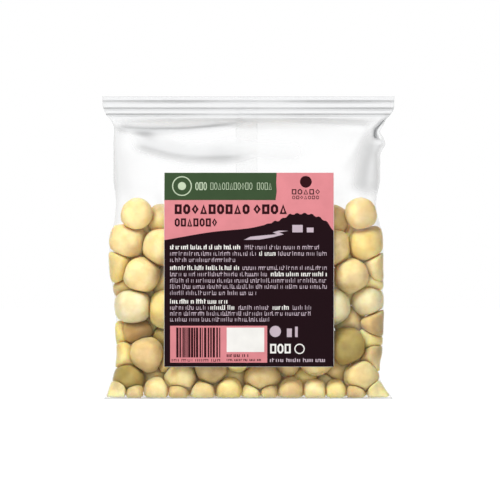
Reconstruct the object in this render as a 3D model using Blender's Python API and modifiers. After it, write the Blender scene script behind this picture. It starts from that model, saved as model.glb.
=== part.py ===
"""A clear film bag of shelled macadamia kernels, standing on its folded bottom seal.

Metres, +Z up. The labelled front faces -Y, and the origin is on the ground under the bag's middle.
The film is one web wrapped into a tube: its edges lap down the middle of the back, and a crimped seal
closes each end. The kernels are packed loose inside, and the label is stuck on the flat of the front.
"""

import math

import bmesh
import bpy
import numpy as np
from mathutils import Matrix, Quaternion, Vector
from mathutils.bvhtree import BVHTree

MM = 0.001
SEED = 7

# Bag
BAG_WIDTH = 130.0 * MM
BAG_HEIGHT = 134.5 * MM
FILM = 0.4 * MM
GAP = 0.3 * MM

# Seals: the film's two layers run into a crimped bar at each end
SEAL_HEIGHT = 9.5 * MM
SEAL_HALF = 0.85 * MM
RIB_COUNT = 3
RIB_RISE = 0.35 * MM
RIB_STEPS = 8
FOLDED_SEAL_FRONT = -10.2 * MM
FOLDED_SEAL_DEPTH = 12.8 * MM
FOLDED_SEAL_THICK = 1.0 * MM

# Lapped seam down the back: the inner edge is lifted clear of the outer one
LAP = 8.0 * MM
LAP_LIFT = 0.6 * MM
LAP_STEP = 1.6 * MM

# Label
LABEL_SIDES = (-37.3 * MM, 37.8 * MM)
LABEL_LOW = 14.4 * MM
LABEL_HIGH = 100.4 * MM
LABEL_THICK = 0.25 * MM
LABEL_ROWS = 16

# Kernels
KERNEL_COUNT = 58
KERNEL_DIAMETER = (13.6, 15.4)
KERNEL_SIDES = 12
KERNEL_BANDS = 8
KERNEL_TOP = 0.94
KERNEL_BASE = 0.87
KERNEL_TIP = 0.05
TIP_SHARPNESS = 12

# Kernels that show beside and below the label: across, up, diameter, and how far each is set back from
# the front film, in mm. The rest drop in behind and between them.
SHOWN_KERNELS = (
    (-49.4, 82.0, 13.0, 1.0), (-38.4, 79.2, 13.0, 3.0), (-52.6, 69.4, 14.4, 0.0), (-38.4, 67.0, 14.4, 0.0),
    (-46.1, 55.2, 14.6, 0.0), (-50.6, 40.2, 13.6, 0.5), (-36.4, 40.6, 14.6, 0.5), (-49.4, 26.8, 13.2, 3.0),
    (-35.4, 23.4, 13.4, 2.5), (-46.2, 14.0, 14.4, 0.0), (-54.0, 8.2, 13.0, 7.5), (-32.0, 8.4, 14.0, 0.0),
    (-19.6, 13.2, 13.6, 1.0), (-6.6, 14.8, 13.4, 1.5), (5.2, 8.6, 14.4, 0.0), (17.4, 13.8, 13.8, 0.5),
    (32.2, 14.4, 14.6, 0.0), (46.4, 9.0, 14.8, 0.0), (50.1, 82.0, 13.2, 1.0), (38.2, 78.6, 13.0, 2.5),
    (52.4, 68.2, 14.6, 0.0), (37.8, 66.4, 14.4, 0.0), (45.2, 54.2, 14.6, 0.0), (38.6, 40.2, 14.6, 0.0),
    (53.2, 41.0, 13.2, 4.0), (44.6, 24.0, 14.8, 0.0),
)

# Packing, with lengths in mm: the shown kernels are eased apart near their places, the rest go in around
# them on a grid, and then all of them are eased apart once more
TRY_STEP = 1.5
TRY_X = 54.0
TRY_Y = 6.0
TRY_Z = (8.0, 83.0)
EASE_ROUNDS = 400
HOME_PULL = (0.05, 0.005, 0.05)
SQUEEZE_COST = 40.0
SETTLE_ROUNDS = 300
SETTLE_PULL = (0.03, 0.0, 0.03)

# Body of the bag above its base: (height, value) pairs in mm, joined by smooth curves
HALF_WIDTH = (
    (14.0, 59.6), (20.0, 59.3), (45.0, 60.4), (68.0, 61.2), (86.0, 60.0), (112.0, 59.5), (118.0, 59.7),
    (122.0, 61.4), (125.0, 63.8), (127.0, 64.2),
)
HALF_DEPTH = (
    (14.0, 12.3), (45.0, 12.6), (75.0, 12.2), (92.0, 10.8), (105.0, 8.7), (114.0, 6.1), (120.0, 3.3),
    (123.5, 1.2), (125.0, 0.6), (127.0, 0.6),
)
ROUNDING = (
    (14.0, 14.0), (30.0, 15.5), (80.0, 16.5), (100.0, 14.5), (112.0, 10.5), (120.0, 4.5), (124.0, 1.0),
    (125.0, 0.6), (127.0, 0.6),
)
BODY_HEIGHTS = (14.0, 20.0, 28.0, 38.0, 48.0, 58.0, 68.0, 77.0, 86.0, 94.0, 100.0, 105.5, 110.0, 114.0,
                117.2, 119.8, 121.8, 123.4, 124.5, 125.6, 127.0)

# Base: the film from the root of the folded seal up to the body, as the lines down the middle of the
# front, down the side edge and down the middle of the back, with the half width and edge rounding there
BASE_STEPS = 13
BASE_FRONT = ((0.0, -9.4, 0.5), (0.1, -10.1, 1.5), (0.35, -11.3, 4.4), (0.65, -12.0, 8.3), (1.0, -12.3, 14.0))
BASE_EDGE = ((0.0, -8.8, 0.5), (0.1, -8.5, 1.6), (0.35, -5.8, 4.4), (0.65, -1.9, 8.3), (1.0, 0.0, 14.0))
BASE_BACK = (
    (0.0, -8.2, 0.5), (0.09, -7.4, 1.75), (0.32, 2.6, 1.8), (0.42, 4.9, 0.5), (0.5, 6.2, 0.2),
    (0.62, 9.2, 0.3), (0.76, 11.3, 2.9), (1.0, 12.3, 14.0),
)
BASE_WIDTH = ((0.0, 64.2, 0.6), (0.1, 63.6, 1.4), (0.35, 62.2, 5.0), (0.65, 60.6, 10.0), (1.0, 59.6, 14.0))

FLAT_SHARES = (0.55, 1.0)
ROUND_STEPS = 6


def smooth_curve(keys, at):
    """The values of keys, (parameter, value, ...) rows, at one parameter, on a smooth monotone curve."""
    rows = np.array(keys)
    steps = np.diff(rows[:, 0])
    slopes = np.diff(rows[:, 1:], axis=0) / steps[:, None]
    product = slopes[:-1] * slopes[1:]
    mean = 2.0 * product / np.where(product > 0.0, slopes[:-1] + slopes[1:], 1.0)
    inner = np.where(product > 0.0, mean, 0.0)
    tangents = np.vstack([slopes[:1], inner, slopes[-1:]])
    i = int(np.clip(np.searchsorted(rows[:, 0], at) - 1, 0, len(steps) - 1))
    t = (at - rows[i, 0]) / steps[i]
    start, end = rows[i, 1:], rows[i + 1, 1:]
    return (
        (2 * t**3 - 3 * t**2 + 1) * start
        + (t**3 - 2 * t**2 + t) * steps[i] * tangents[i]
        + (3 * t**2 - 2 * t**3) * end
        + (t**3 - t**2) * steps[i] * tangents[i + 1]
    )


def half_depth(height):
    """How far the front of the body stands from the middle plane, at a height in metres."""
    return float(smooth_curve(HALF_DEPTH, height / MM)[0]) * MM


def stations():
    """Rows of (half width, rounding, front, edge, back), the last three as (y, z), from root to top seal."""
    found = []
    for i in range(BASE_STEPS):
        s = i / BASE_STEPS
        half_width, rounding = smooth_curve(BASE_WIDTH, s)
        lines = [smooth_curve(keys, s) * MM for keys in (BASE_FRONT, BASE_EDGE, BASE_BACK)]
        found.append((half_width * MM, rounding * MM, *lines))
    for height in BODY_HEIGHTS:
        half_width = float(smooth_curve(HALF_WIDTH, height)[0])
        rounding = float(smooth_curve(ROUNDING, height)[0])
        depth = float(smooth_curve(HALF_DEPTH, height)[0])
        lines = [np.array((y, height)) * MM for y in (-depth, 0.0, depth)]
        found.append((half_width * MM, rounding * MM, *lines))
    return found


def side_columns(half_width, rounding):
    """(x, share) from the start of a panel's flat to its side edge. Share is 1 on the panel and 0 at the edge."""
    flat = half_width - rounding
    columns = [(flat * share, 1.0) for share in FLAT_SHARES]
    for i in range(1, ROUND_STEPS + 1):
        angle = math.pi / 2 * (1.0 - i / ROUND_STEPS)
        columns.append((flat + rounding * math.cos(angle), math.sin(angle)))
    return columns


def web_ring(half_width, rounding, front, edge, back):
    """One cross-section of the web: from the lap's inner edge, round the left, the front and the right."""
    lifted = back + (edge - back) / np.linalg.norm(edge - back) * LAP_LIFT
    columns = side_columns(half_width, rounding)
    outward = [(x, edge + (back - edge) * share) for x, share in columns]
    forward = [(x, edge + (front - edge) * share) for x, share in columns]
    ring = [(LAP / 2, lifted), (-LAP / 2, lifted), (-LAP / 2 - LAP_STEP, back)]
    ring += [(-x, at) for x, at in outward]
    ring += [(-x, at) for x, at in reversed(forward[:-1])]
    ring += [(0.0, front)]
    ring += [(x, at) for x, at in forward]
    ring += [(x, at) for x, at in reversed(outward[:-1])]
    ring += [(LAP / 2 + LAP_STEP, back), (-LAP / 2, back)]
    return [Vector((x, at[0], at[1])) for x, at in ring]


def link(obj, collection, material=None):
    collection.objects.link(obj)
    if material is not None:
        obj.data.materials.append(material)
    return obj


def mesh_object(name, build):
    """An object whose mesh is what build(bm) adds to an empty bmesh."""
    bm = bmesh.new()
    build(bm)
    bmesh.ops.recalc_face_normals(bm, faces=bm.faces)
    mesh = bpy.data.meshes.new(name)
    bm.to_mesh(mesh)
    bm.free()
    return bpy.data.objects.new(name, mesh)


def add_grid(bm, rows):
    """Quads between rows of points, each as long as the next."""
    verts = [[bm.verts.new(point) for point in row] for row in rows]
    for low, high in zip(verts, verts[1:]):
        for i in range(len(low) - 1):
            bm.faces.new((low[i], low[i + 1], high[i + 1], high[i]))


def thicken(obj, thickness):
    solidify = obj.modifiers.new("wall", "SOLIDIFY")
    solidify.thickness = thickness
    solidify.offset = 0.0
    solidify.use_even_offset = True


def join(obj, other):
    boolean = obj.modifiers.new("join " + other.name, "BOOLEAN")
    boolean.operation = "UNION"
    boolean.object = other


def helper(obj, collection):
    """Puts away an object that a Boolean joins to another."""
    link(obj, collection)
    obj.hide_render = True
    obj.display_type = "WIRE"
    return obj


def top_seal(collection):
    """The crimped bar across the top: ribs along its whole width, on both faces."""
    low = BAG_HEIGHT - SEAL_HEIGHT
    steps = RIB_COUNT * RIB_STEPS
    side = []
    for i in range(steps + 1):
        wave = 0.5 - 0.5 * math.cos(2.0 * math.pi * i / RIB_STEPS)
        side.append((SEAL_HALF + RIB_RISE * wave, low + SEAL_HEIGHT * i / steps))
    outline = [(-y, z) for y, z in side] + [(y, z) for y, z in reversed(side)]

    def build(bm):
        face = bm.faces.new([bm.verts.new((-BAG_WIDTH / 2, y, z)) for y, z in outline])
        moved = bmesh.ops.extrude_face_region(bm, geom=[face])["geom"]
        ends = [item for item in moved if isinstance(item, bmesh.types.BMVert)]
        bmesh.ops.translate(bm, verts=ends, vec=(BAG_WIDTH, 0.0, 0.0))

    return helper(mesh_object("top_seal", build), collection)


def bottom_seal(collection):
    """The bar across the bottom, folded flat under the bag. The bag stands on it."""
    size = Vector((BAG_WIDTH, FOLDED_SEAL_DEPTH, FOLDED_SEAL_THICK))
    centre = Vector((0.0, FOLDED_SEAL_FRONT + FOLDED_SEAL_DEPTH / 2, FOLDED_SEAL_THICK / 2))

    def build(bm):
        bmesh.ops.create_cube(bm, size=1.0, matrix=Matrix.Translation(centre) @ Matrix.Diagonal((*size, 1.0)))

    return helper(mesh_object("bottom_seal", build), collection)


def bag_film(parts, helpers, material):
    film = mesh_object("bag_film", lambda bm: add_grid(bm, [web_ring(*row) for row in stations()]))
    link(film, parts, material)
    thicken(film, FILM)
    join(film, top_seal(helpers))
    join(film, bottom_seal(helpers))
    return film


def front_label(parts, material):
    """A thin label that follows the flat of the front."""
    rows = []
    for i in range(LABEL_ROWS + 1):
        z = LABEL_LOW + (LABEL_HIGH - LABEL_LOW) * i / LABEL_ROWS
        y = -half_depth(z) - FILM / 2 - GAP - LABEL_THICK / 2
        rows.append([Vector((x, y, z)) for x in LABEL_SIDES])
    label = link(mesh_object("front_label", lambda bm: add_grid(bm, rows)), parts, material)
    thicken(label, LABEL_THICK)
    return label


def film_room(points, walls):
    """How far each point inside the bag is from the film."""
    return np.array([walls.find_nearest(Vector(point))[3] for point in points])


def shown_places(radii):
    """Where the kernels that show would stand if nothing pushed them."""
    places = []
    for (x, z, _, set_back), radius in zip(SHOWN_KERNELS, radii):
        front = -half_depth(z * MM) + FILM / 2 + GAP
        places.append((x * MM, front + set_back * MM + radius, z * MM))
    return np.array(places)


def drop_in(places, radii, wanted, walls):
    """Adds the wanted radii one by one, each at the lowest grid point that has room for it."""
    across = np.arange(-TRY_X, TRY_X + TRY_STEP / 2, TRY_STEP)
    along = np.arange(-TRY_Y, TRY_Y + TRY_STEP / 2, TRY_STEP)
    up = np.arange(TRY_Z[0], TRY_Z[1] + TRY_STEP / 2, TRY_STEP)
    grid = np.array(np.meshgrid(across, along, up)).reshape(3, -1).T * MM
    room = film_room(grid, walls) - GAP
    for place, radius in zip(places, radii):
        room = np.minimum(room, np.linalg.norm(grid - place, axis=1) - radius - GAP)
    for radius in wanted:
        squeeze = np.clip(radius - room, 0.0, None)
        best = np.argmin(squeeze * SQUEEZE_COST + grid[:, 2])
        places = np.vstack([places, grid[best]])
        radii = np.append(radii, radius)
        room = np.minimum(room, np.linalg.norm(grid - grid[best], axis=1) - radius - GAP)
    return places, radii


def keep_inside(places, radii, walls):
    """Moves each kernel that is too near the film away from it."""
    for i, place in enumerate(places):
        near, normal, _, _ = walls.find_nearest(Vector(place))
        away = (Vector(place) - near).dot(normal)
        if away < radii[i] + GAP:
            places[i] += np.array(normal) * (radii[i] + GAP - away)


def separate(places, radii):
    """Moves overlapping kernels apart, each by half of the overlap."""
    apart = places[:, None] - places[None]
    distance = np.linalg.norm(apart, axis=2) + np.eye(len(places))
    overlap = np.clip(radii[:, None] + radii[None] + GAP - distance, 0.0, None)
    np.fill_diagonal(overlap, 0.0)
    places += (apart / distance[:, :, None] * overlap[:, :, None] / 2).sum(axis=1)


def settled_kernels(film):
    """Places and radii of kernels packed in the bag, clear of the film and of each other."""
    rng = np.random.default_rng(SEED)
    walls = BVHTree.FromObject(film, bpy.context.evaluated_depsgraph_get())
    radii = np.array([row[2] for row in SHOWN_KERNELS]) * MM / 2
    home = shown_places(radii)
    places = home.copy()
    for _ in range(EASE_ROUNDS):
        places += (home - places) * np.array(HOME_PULL)
        separate(places, radii)
        keep_inside(places, radii, walls)
    wanted = rng.uniform(*KERNEL_DIAMETER, KERNEL_COUNT - len(radii)) * MM / 2
    places, radii = drop_in(places, radii, wanted, walls)
    for _ in range(SETTLE_ROUNDS):
        places[:len(home)] += (home - places[:len(home)]) * np.array(SETTLE_PULL)
        separate(places, radii)
        keep_inside(places, radii, walls)
    for i, place in enumerate(places):
        near, normal, _, _ = walls.find_nearest(Vector(place))
        distance = np.linalg.norm(places - place, axis=1) - radii
        distance[i] = (Vector(place) - near).dot(normal)
        radii[i] = min(radii[i], distance.min() - GAP)
    return places, radii, rng


def kernel(name, place, radius, turn, parts, material):
    """A whole kernel: a ball a little flattened, more so at its base, with a low tip on top."""

    def build(bm):
        bmesh.ops.create_uvsphere(bm, u_segments=KERNEL_SIDES, v_segments=KERNEL_BANDS, radius=1.0)
        for vert in bm.verts:
            up = vert.co.z
            vert.co.z = up * (KERNEL_TOP if up > 0.0 else KERNEL_BASE) + KERNEL_TIP * max(up, 0.0) ** TIP_SHARPNESS
            vert.co *= radius

    obj = link(mesh_object(name, build), parts, material)
    obj.location = place
    obj.rotation_mode = "QUATERNION"
    obj.rotation_quaternion = turn
    obj.data.shade_smooth()
    return obj


def finish(name, colour, roughness, alpha=1.0):
    material = bpy.data.materials.new(name)
    material.use_nodes = True
    shader = material.node_tree.nodes["Principled BSDF"]
    shader.inputs["Base Color"].default_value = (*colour, 1.0)
    shader.inputs["Roughness"].default_value = roughness
    shader.inputs["Metallic"].default_value = 0.0
    shader.inputs["Alpha"].default_value = alpha
    return material


def new_collection(name):
    collection = bpy.data.collections.new(name)
    bpy.context.scene.collection.children.link(collection)
    return collection


def main():
    for obj in list(bpy.data.objects):
        bpy.data.objects.remove(obj, do_unlink=True)
    parts = new_collection("macadamia_bag")
    helpers = new_collection("helpers")
    helpers.hide_render = True

    film = bag_film(parts, helpers, finish("clear_film", (0.93, 0.94, 0.95), 0.15, alpha=0.2))
    front_label(parts, finish("printed_label", (0.04, 0.005, 0.015), 0.35))
    bpy.context.view_layer.update()

    cream = finish("kernel", (0.86, 0.70, 0.42), 0.5)
    places, radii, rng = settled_kernels(film)
    for i, (place, radius) in enumerate(zip(places, radii), start=1):
        turn = Quaternion(rng.normal(size=4)).normalized()
        kernel(f"kernel_{i:02d}", place, radius, turn, parts, cream)


main()
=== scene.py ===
"""Looks of the clear film bag of macadamia kernels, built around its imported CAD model.

Metres, +Z up, labelled front facing -Y. The film is a fine tube that starts from the bag's outline, is drawn
in until it rests on the kernels, and is then creased. The label keeps its CAD node and carries thin printed
pieces, and every kernel is a finer, slightly irregular body where its CAD node lies.
"""

import math

import bmesh
import bpy
import numpy as np
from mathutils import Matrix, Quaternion, Vector, noise
from mathutils.bvhtree import BVHTree


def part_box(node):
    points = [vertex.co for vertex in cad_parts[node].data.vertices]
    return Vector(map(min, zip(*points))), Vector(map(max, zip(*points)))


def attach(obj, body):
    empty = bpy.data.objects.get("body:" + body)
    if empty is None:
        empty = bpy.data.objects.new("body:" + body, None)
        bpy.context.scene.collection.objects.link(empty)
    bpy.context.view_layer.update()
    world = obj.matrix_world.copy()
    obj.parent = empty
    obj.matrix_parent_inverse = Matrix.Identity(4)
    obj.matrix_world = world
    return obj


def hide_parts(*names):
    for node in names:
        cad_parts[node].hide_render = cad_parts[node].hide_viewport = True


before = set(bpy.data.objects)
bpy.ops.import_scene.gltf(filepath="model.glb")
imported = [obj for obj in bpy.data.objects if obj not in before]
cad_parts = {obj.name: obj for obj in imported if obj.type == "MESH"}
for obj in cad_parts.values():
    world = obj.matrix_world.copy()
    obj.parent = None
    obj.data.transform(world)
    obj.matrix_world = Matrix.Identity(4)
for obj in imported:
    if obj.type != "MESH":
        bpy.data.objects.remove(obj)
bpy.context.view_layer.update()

MM = 0.001
SEED = 11

# Outline of the front, as (height, x) in mm: the bag isn't quite even from side to side
LEFT_EDGE = (
    (0.0, -63.7), (1.5, -63.2), (4.5, -62.2), (9.0, -60.9), (14.5, -59.5), (20.5, -58.9), (28.0, -59.4),
    (44.0, -60.9), (58.0, -62.2), (70.0, -62.8), (79.0, -61.6), (92.0, -60.5), (113.0, -60.3), (120.0, -59.9),
    (123.5, -60.9), (126.5, -63.4), (129.0, -64.4), (131.0, -64.9), (134.5, -64.9),
)
RIGHT_EDGE = (
    (0.0, 63.9), (1.5, 63.2), (4.5, 61.0), (9.0, 58.9), (14.5, 58.7), (20.5, 59.8), (44.0, 60.6),
    (58.0, 60.3), (78.0, 60.2), (82.0, 59.2), (88.0, 58.6), (108.0, 58.5), (110.6, 59.4), (113.3, 60.7),
    (116.0, 59.9), (118.6, 58.5), (121.3, 59.9), (124.0, 61.2), (126.6, 63.4), (129.3, 64.7), (134.5, 64.9),
)
# Against height in mm: the half depth of the cross-section in mm, and its squareness, 2 being an oval
HALF_DEPTH = (
    (14.0, 12.5), (45.0, 12.8), (75.0, 12.4), (92.0, 11.0), (105.0, 8.9), (114.0, 6.6), (119.5, 4.6),
    (122.5, 2.3), (124.2, 0.8), (125.2, 0.35), (134.5, 0.35),
)
SQUARENESS = (
    (0.0, 5.0), (14.0, 5.0), (45.0, 5.6), (80.0, 5.2), (100.0, 4.2), (114.0, 3.2), (125.0, 3.0), (134.5, 3.0),
)

# Base of the bag: (share, y, z) of the middle of the front, the side edge and the middle of the back, in mm
BASE_TOP = 14.0
BASE_FRONT = ((0.0, -9.6, 0.4), (0.1, -10.3, 1.3), (0.35, -11.5, 4.4), (0.65, -12.2, 8.3), (1.0, -12.5, 14.0))
BASE_EDGE = ((0.0, -9.0, 0.4), (0.1, -8.7, 1.3), (0.35, -5.8, 4.4), (0.65, -1.9, 8.3), (1.0, 0.0, 14.0))
BASE_BACK = (
    (0.0, -8.2, 0.6), (0.09, -7.2, 0.95), (0.32, 2.6, 0.95), (0.42, 4.9, 0.5), (0.5, 6.2, 0.2),
    (0.62, 9.2, 0.3), (0.76, 11.4, 2.9), (1.0, 12.5, 14.0),
)

# Film grid. Its columns are spaced evenly along one typical cross-section.
TYPICAL_HALF_WIDTH = 60.0
TYPICAL_HALF_DEPTH = 12.5
TYPICAL_SQUARENESS = 5
SECTION_SAMPLES = 4001
FRONT_COLUMNS = 132
BASE_ROWS = 22
BODY_STEP = 0.9
HEAD_LOW = 104.0
HEAD_STEP = 0.45
SEAL_LOW = 124.4
SEAL_STEP = 0.2
TOP = 134.5
# Keeps the last row of a band of rows off the next band's first
ROW_NUDGE = 1e-6

# Ridges of the top seal, softer in the middle of the bag and a little uneven
CRIMP_LINES = (126.1, 128.8, 132.0)
CRIMP_DEPTH = 0.44
CRIMP_WIDTH = 0.85
CRIMP_MIDDLE = 0.7
CRIMP_FADE = (8.0, 34.0)
CRIMP_UNEVEN = 0.12
CRIMP_WAVE = 11.0
CRIMP_SHIFT = 2.1

# Lapped seam down the back: (x, height off the film), from where it joins the film to its free edge
SEAM_SECTION = ((-5.6, 0.06), (-5.0, 0.2), (-4.2, 0.45), (-3.0, 0.5), (0.0, 0.5), (3.0, 0.45), (4.0, 0.4))
SEAM_FIRST_ROW = 14
SEAM_LOW = 0.08
SEAM_THICK = 0.12
# Waves of the seam's free edge: share of its height, and turn in radians from row to row
SEAM_WAVES = ((0.25, 0.21), (0.15, 0.53))

# Folded seal under the bag: a strip with ribs beneath and a slight crown on top
SEAL_FRONT = -10.1
SEAL_BACK = 2.5
SEAL_END = 63.8
SEAL_SECTION_POINTS = 33
SEAL_STATIONS = 61
SEAL_UNDERSIDE = 0.35
SEAL_RIBS = 4.0
SEAL_RIB_HALF = 0.12
SEAL_TOP_SIDE = 0.58
SEAL_CROWN = 0.08

# Kernels beyond the CAD's: (x, y, z, weight). Those along the foot of the bag come first, 13 of them, then
# the others, mostly at the back and in the corners.
PLACED_KERNELS = (
    (-58.4, -6.4, 3.0, 4.2), (-50.6, -6.8, 2.2, 3.6), (-40.6, -6.4, 3.2, 5.2), (-31.2, -6.8, 2.4, 4.2),
    (-20.4, -6.4, 2.6, 5.0), (-8.6, -6.6, 3.2, 5.2), (1.4, -7.0, 2.0, 3.8), (9.0, -6.8, 2.6, 3.6),
    (18.8, -6.4, 2.8, 5.2), (29.6, -6.4, 3.0, 4.6), (38.8, -6.6, 3.2, 4.2), (47.6, -7.0, 2.0, 3.8),
    (57.4, -6.4, 3.0, 4.4), (-43.0, 8.0, 32.0, 5.5), (-43.5, 8.0, 47.5, 5.5), (44.0, 8.0, 71.0, 5.5),
    (-45.6, 8.0, 75.0, 5.0), (34.4, 4.0, 6.6, 5.0), (-15.0, 2.0, 5.0, 4.6), (51.5, 7.5, 61.0, 5.0),
    (-55.5, 5.5, 28.0, 5.0), (-54.0, 2.0, 3.6, 4.0), (53.0, 2.0, 3.8, 4.0),
)
# Kernels that fill the spaces left over: their least and largest radius, and the box of places tried
EXTRA_RADIUS = (2.8, 7.4)
EXTRA_BOX = ((-57.0, 57.1), (0.5, 7.6), (5.0, 76.0))
EXTRA_STEP = 1.5
SHARE_LEAST = 5.5
KERNEL_GAP = 0.15
LOWEST_FIRST = 1e-4

# How far kernels swell before something stops them: toward the film, and toward the middle of the bag
OUTER_SWELL = (1.07, 1.17)
INNER_SWELL = (1.6, 1.9)
INWARD_FADE = (-0.2, 0.5)
COVERED_FADE = (70.0, 80.0)
KERNEL_DETAIL = 4
CONTACT_GAP = 0.05
WALL_GAP = 0.3
NEIGHBOUR_GAP = 8.0
LEAST_TOWARD = 0.05
LEAST_REACH = 0.5
NO_LIMIT = 1e3
SOFT_LIMIT = 9.5

# Kernels low in the bag that press into its side or its base
EDGE_MOST = 1.4
EDGE_TOP = 76.0
SIDE_AT = 63.0
BASE_AT = -1.0
PRESS_FADE = (0.1, 0.6)
PRESS_TOWARD = 0.4

# Shape of one kernel, for a radius of 1
KERNEL_BODY = 0.97
KERNEL_LUMPS = ((1.1, 0.07), (2.7, 0.035), (7.0, 0.008))
GROOVE_DEPTH = 0.02
GROOVE_WIDTH = 0.06
GROOVE_START = 0.2
TIP_HEIGHT = 0.025
TIP_POWER = 10
BASE_FLAT = 0.08
BASE_POWER = 6
BROWN_FADE = (0.1, 1.0)
BROWN_MOTTLE = 4.0

# Drawing the film in between the kernels
DRAW_ROUNDS = 26
DRAW_MOST = 1.9
FILM_GAP = 0.22
RAY_START = 2.0
LABEL_HOLD = (-0.5, 4.0)
DRAW_FOOT = (3.0, 10.0)
FILL_TOP = (86.0, 98.0)
NUDGES = ((0.0, 0.0, 0.0), (0.012, 0.017, 0.007), (-0.015, -0.011, 0.019), (0.02, -0.03, -0.025))

# Small waves of the film: size, height and how far they are drawn out down the bag
SOFT_SIZE, SOFT_HEIGHT, SOFT_DRAWN = 17.0, 0.42, 0.7
PLEAT_SIZE, PLEAT_HEIGHT, PLEAT_DRAWN = 3.6, 0.08, 0.16
FINE_SIZE, FINE_HEIGHT = 6.0, 0.10
HEAD_START = (84.0, 98.0)
HEAD_END = (118.0, 124.0)
PLEAT_START = (108.0, 122.0)
PLEAT_END = (124.0, 125.5)
FINE_START = (6.0, 12.0)

# Cloudiness of the film. Along the seal's ridges it is painted shade, and along the foot and in the patches
# over the kernels it is painted reflection. HAZE_HEAD is the front's and the back's in the head space.
HAZE_CLEAR = 0.01
HAZE_HEAD = (0.16, 0.02)
HAZE_SEAL = 0.26
RIDGE_SHADE_HAZE = 0.30
FOOT_REFLECTION_HAZE = 0.10
HAZE_SEAM = 0.04
HAZE_BOTTOM_SEAL = 0.2
PATCH_SIZE = 11.0
PATCH_LEAST = 0.18
REFLECTION_PATCH_HAZE = 0.3

# Label and its print: thicknesses, the step between layers of print, how far the face stands off the bag's
# outline, how often print is cut so that it can bend, and the rounding of the corners
LABEL_THICK = 0.2
INK = 0.04
LAYER_STEP = 0.05
LABEL_STANDS = 0.55
LABEL_STEP = 5.0
LABEL_CORNER = 0.7
LABEL_INSET = 0.12
DISC_POINTS = 24
WORD_TICKS = (2, 9)


def along(keys, at):
    """The values of keys, (parameter, value, ...) rows, at each parameter, on a smooth monotone curve."""
    rows = np.array(keys, dtype=float)
    at = np.atleast_1d(np.asarray(at, dtype=float))
    steps = np.diff(rows[:, 0])
    slopes = np.diff(rows[:, 1:], axis=0) / steps[:, None]
    product = slopes[:-1] * slopes[1:]
    mean = 2.0 * product / np.where(product > 0.0, slopes[:-1] + slopes[1:], 1.0)
    tangents = np.vstack([slopes[:1], np.where(product > 0.0, mean, 0.0), slopes[-1:]])
    i = np.clip(np.searchsorted(rows[:, 0], at) - 1, 0, len(steps) - 1)
    t = np.clip((at - rows[i, 0]) / steps[i], 0.0, 1.0)[:, None]
    step = steps[i][:, None]
    return (
        (2 * t**3 - 3 * t**2 + 1) * rows[i, 1:]
        + (t**3 - 2 * t**2 + t) * step * tangents[i]
        + (3 * t**2 - 2 * t**3) * rows[i + 1, 1:]
        + (t**3 - t**2) * step * tangents[i + 1]
    )


def smoothstep(low, high, at):
    """0 up to low, 1 from high, and a smooth rise between them."""
    t = np.clip((at - low) / (high - low), 0.0, 1.0)
    return t * t * (3.0 - 2.0 * t)


# ---------------------------------------------------------------- film shape


def column_places():
    """Positions across the front, -1 to 1, evenly spaced along the curve of a typical cross-section."""
    x = np.sin(np.linspace(-math.pi / 2, math.pi / 2, SECTION_SAMPLES))
    y = np.sqrt(np.clip(1.0 - np.abs(x) ** TYPICAL_SQUARENESS, 0.0, 1.0))
    steps = np.hypot(np.diff(x * TYPICAL_HALF_WIDTH), np.diff(y * TYPICAL_HALF_DEPTH))
    length = np.concatenate([[0.0], np.cumsum(steps)])
    return np.interp(np.linspace(0.0, length[-1], FRONT_COLUMNS + 1), length, x)


def film_rows():
    """The (y, z) of each row of the film: at mid-front, at the side edge and at mid-back."""
    share = np.linspace(0.0, 1.0, BASE_ROWS, endpoint=False)
    base = [along(keys, share) for keys in (BASE_FRONT, BASE_EDGE, BASE_BACK)]
    bands = (
        (BASE_TOP, HEAD_LOW, BODY_STEP),
        (HEAD_LOW, SEAL_LOW, HEAD_STEP),
        (SEAL_LOW, TOP + SEAL_STEP / 2, SEAL_STEP),
    )
    z = np.concatenate([np.arange(start + ROW_NUDGE, end, step) for start, end, step in bands])
    depth = along(HALF_DEPTH, z)[:, 0]
    body = [np.stack([y, z], axis=1) for y in (-depth, depth * 0.0, depth)]
    front, edge, back = (np.vstack([lower, upper]) for lower, upper in zip(base, body))
    return front, edge, back


def film_tube():
    """Points of the smooth film as (row, column, xyz) in mm: across the front, then back across the back."""
    across = column_places()
    front, edge, back = film_rows()
    height = edge[:, 1]
    left = along(LEFT_EDGE, height)[:, 0]
    right = along(RIGHT_EDGE, height)[:, 0]
    power = along(SQUARENESS, height)[:, 0]
    middle = (left + right) / 2
    half = (right - left) / 2
    x = middle[:, None] + half[:, None] * across[None]
    share = np.sqrt(np.clip(1.0 - np.abs(across[None]) ** power[:, None], 0.0, 1.0))
    sides = []
    for line in (front, back):
        yz = edge[:, None] + (line - edge)[:, None] * share[..., None]
        sides.append(np.concatenate([x[..., None], yz], axis=2))
    return np.concatenate([sides[0], sides[1][:, -2:0:-1]], axis=1)


def grid_normals(points):
    """Outward unit normals of a tube of points, closed across its columns."""
    across = np.roll(points, -1, axis=1) - np.roll(points, 1, axis=1)
    up = np.gradient(points, axis=0)
    normal = np.cross(across, up)
    return normal / np.maximum(np.linalg.norm(normal, axis=2, keepdims=True), 1e-9)


def smoothed(field, times):
    """A (row, column, ...) field averaged with its neighbours, closed across its columns."""
    for _ in range(times):
        up = np.concatenate([field[1:], field[-1:]])
        down = np.concatenate([field[:1], field[:-1]])
        field = field * 0.5 + (up + down + np.roll(field, 1, axis=1) + np.roll(field, -1, axis=1)) * 0.125
    return field


def label_room(points):
    """0 where the label holds the film flat, rising to 1 clear of it."""
    low, high = label_box
    z = points[..., 2]
    beyond = np.maximum(low[2] - z, z - high[2])
    outside = np.maximum(np.abs(points[..., 0]) - high[0], beyond)
    free = smoothstep(*LABEL_HOLD, outside)
    return np.where(points[..., 1] < 0.0, free, 1.0)


def grid_tree(points):
    """A search tree of a tube of points, closed across its columns."""
    return BVHTree.FromPolygons(points.reshape(-1, 3).tolist(), tube_quads(*points.shape[:2]).tolist())


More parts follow.
